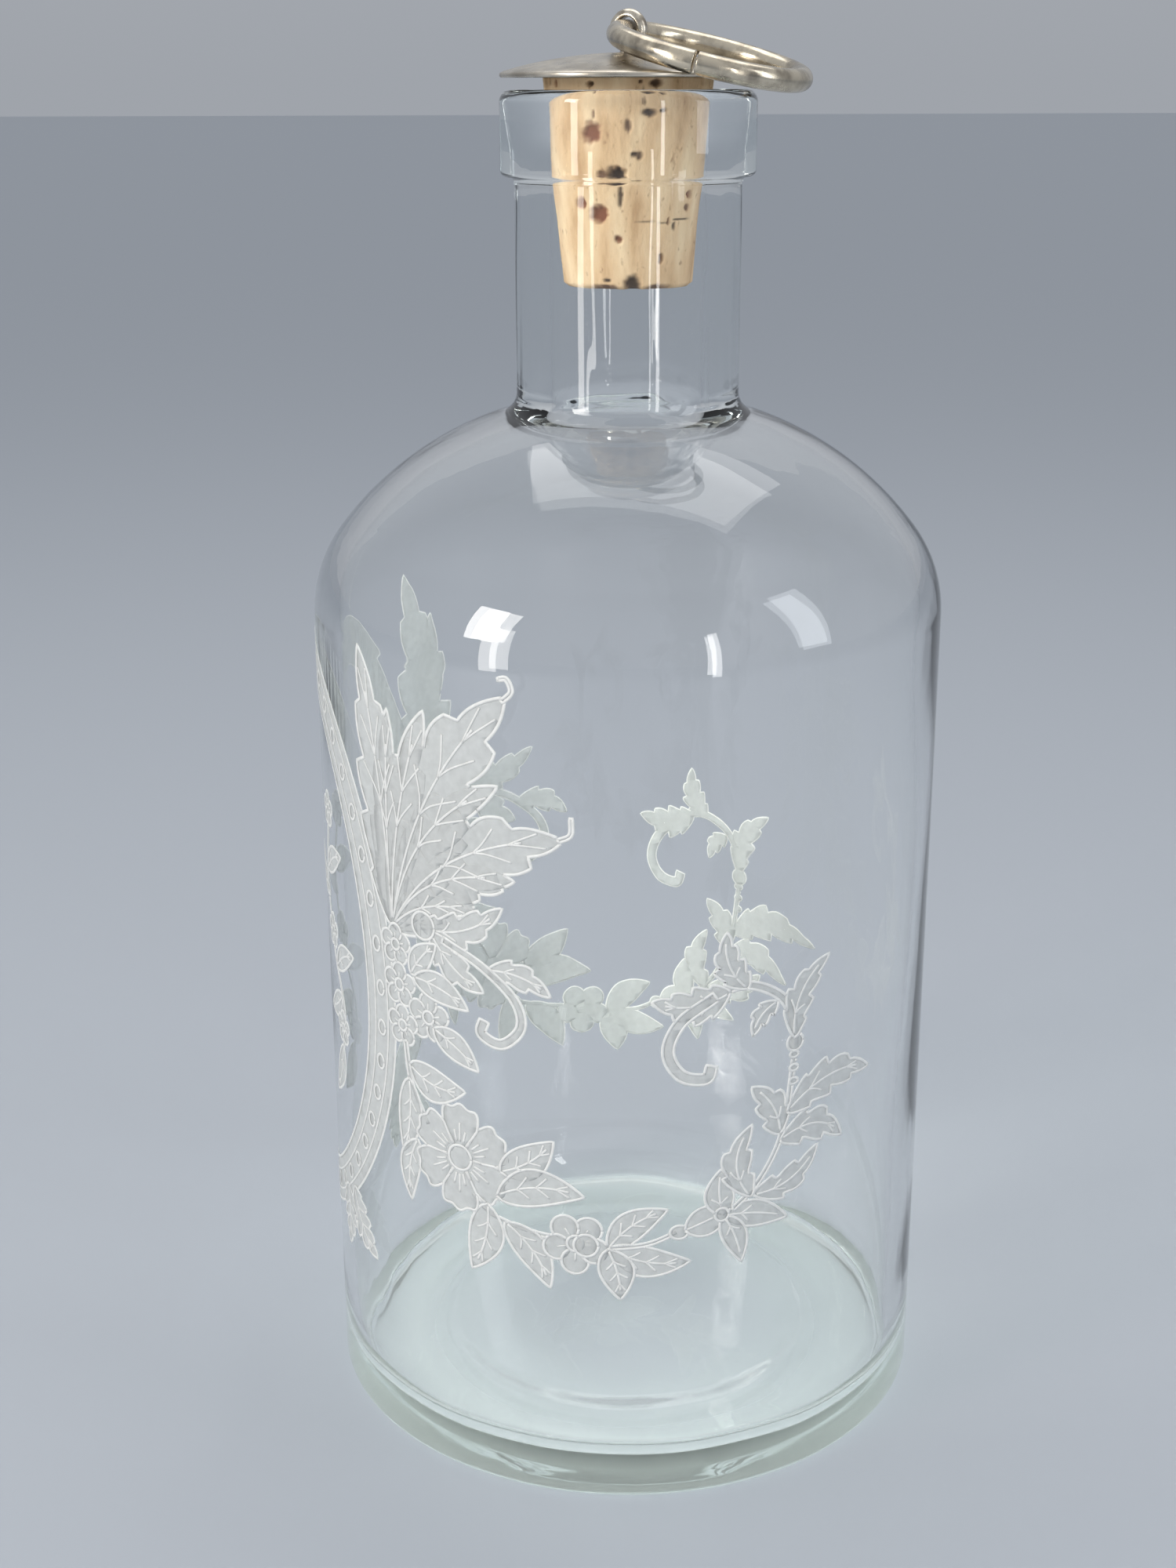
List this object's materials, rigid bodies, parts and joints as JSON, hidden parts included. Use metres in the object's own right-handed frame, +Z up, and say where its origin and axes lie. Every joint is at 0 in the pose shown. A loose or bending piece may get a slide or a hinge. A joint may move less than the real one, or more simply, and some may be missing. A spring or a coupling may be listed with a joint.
{
  "type": "bitters bottle",
  "caption": "Cylindrical glass bitters bottle with a round shoulder, a banded lip, a tapered cork stopper, a domed metal cap and a pull ring.",
  "frame": {"origin": "centre of the standing foot, on the surface that the bottle stands on", "axes": "+Z up along the bottle's axis; the resting pull ring points towards +X and a little towards -Y, the viewer's side"},
  "size_m": [0.09, 0.09, 0.201],
  "materials": {
    "glass": "polished, slightly hazed",
    "cork": "matte",
    "cap_metal": "satin, aged",
    "pin_metal": "satin, tarnished",
    "ring_metal": "polished, tarnished",
    "enamel": "fired white enamel, satin"
  },
  "bodies": {
    "bottle": {"glass_bottle": "glass"},
    "stopper": {"cork": "cork", "cap_disc": "cap_metal", "split_pin": "pin_metal"},
    "ring": {"pull_ring": "ring_metal"}
  },
  "joints": [
    {"name": "stopper_lift", "type": "slide", "parent": "bottle", "child": "stopper", "axis": [0, 0, 1], "range_m": [0, 0.045]},
    {"name": "ring_swing", "type": "hinge", "parent": "stopper", "child": "ring", "pos_m": [0, 0, 0.1981], "axis": [-0.454, -0.891, 0], "range_deg": [0, 209]}
  ]
}
